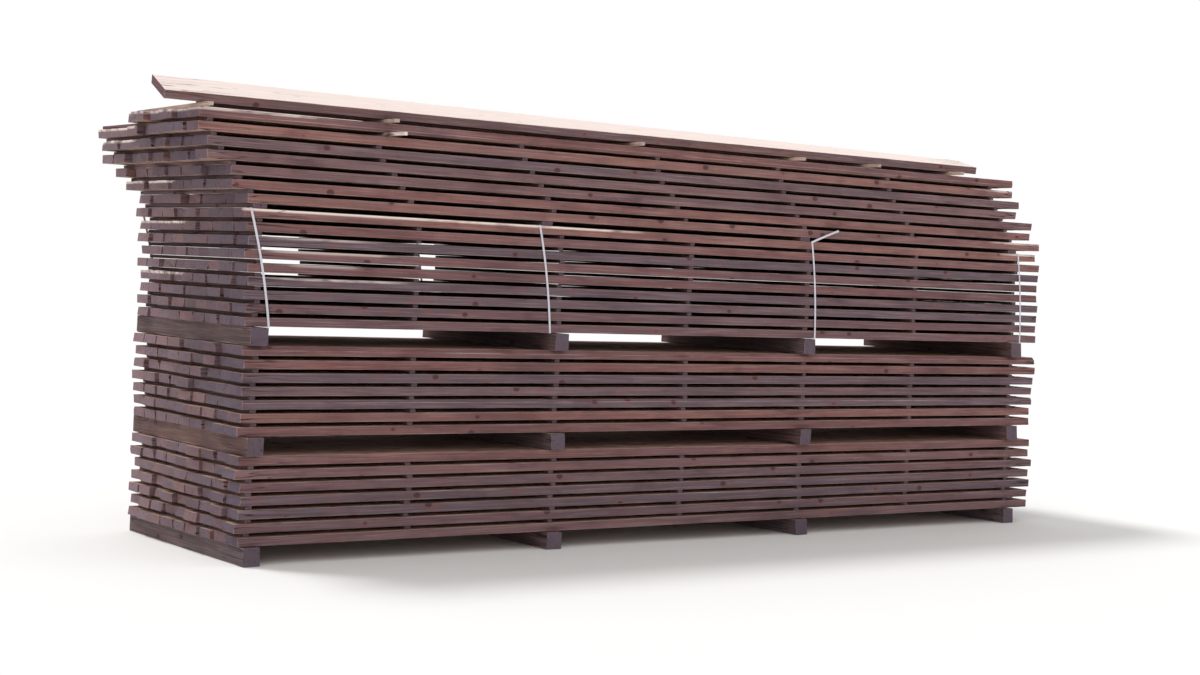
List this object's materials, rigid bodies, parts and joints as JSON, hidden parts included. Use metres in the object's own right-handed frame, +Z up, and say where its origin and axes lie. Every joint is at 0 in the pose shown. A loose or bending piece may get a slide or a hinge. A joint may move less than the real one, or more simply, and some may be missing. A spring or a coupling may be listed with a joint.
{
  "type": "stack of lumber",
  "caption": "Tall stickered stack of rough sawn boards in strapped packs on timber bearers, with a loose plank on top.",
  "frame": {"origin": "on the ground, at the middle of the whole stack's box", "axes": "+X along the boards, -Y out of the long face seen in front, +Z up"},
  "size_m": [6.5314, 1.6068, 2.4979],
  "materials": {
    "sawn_board": "rough sawn softwood, weathered reddish brown",
    "sticker": "rough sawn lath, grey brown",
    "bearer": "rough sawn squared timber, dark and dirty",
    "plank": "freshly sawn pale softwood",
    "strap": "white woven-look packing strap, slightly glossy"
  },
  "bodies": {
    "root": {"ground_bearers": "bearer", "loose_laths": "sticker", "pack_1_layer_1": "sawn_board", "pack_1_layer_2": "sawn_board", "pack_1_layer_3": "sawn_board", "pack_1_layer_4": "sawn_board", "pack_1_layer_5": "sawn_board", "pack_1_layer_6": "sawn_board", "pack_1_layer_7": "sawn_board", "pack_1_stickers": "sticker", "pack_2_bearers": "bearer", "pack_2_layer_1": "sawn_board", "pack_2_layer_2": "sawn_board", "pack_2_layer_3": "sawn_board", "pack_2_layer_4": "sawn_board", "pack_2_layer_5": "sawn_board", "pack_2_layer_6": "sawn_board", "pack_2_layer_7": "sawn_board", "pack_2_stickers": "sticker", "pack_3_bearers": "bearer", "pack_3_layer_1": "sawn_board", "pack_3_layer_2": "sawn_board", "pack_3_layer_3": "sawn_board", "pack_3_layer_4": "sawn_board", "pack_3_layer_5": "sawn_board", "pack_3_layer_6": "sawn_board", "pack_3_layer_7": "sawn_board", "pack_3_layer_8": "sawn_board", "pack_3_layer_9": "sawn_board", "pack_3_stickers": "sticker", "pack_4_bearers": "bearer", "pack_4_layer_1": "sawn_board", "pack_4_layer_2": "sawn_board", "pack_4_layer_3": "sawn_board", "pack_4_layer_4": "sawn_board", "pack_4_layer_5": "sawn_board", "pack_4_layer_6": "sawn_board", "pack_4_layer_7": "sawn_board", "pack_4_stickers": "sticker", "strap_1": "strap", "strap_2": "strap", "strap_3": "strap", "strap_4": "strap", "stray_board": "sawn_board", "top_plank": "plank"}
  },
  "joints": []
}
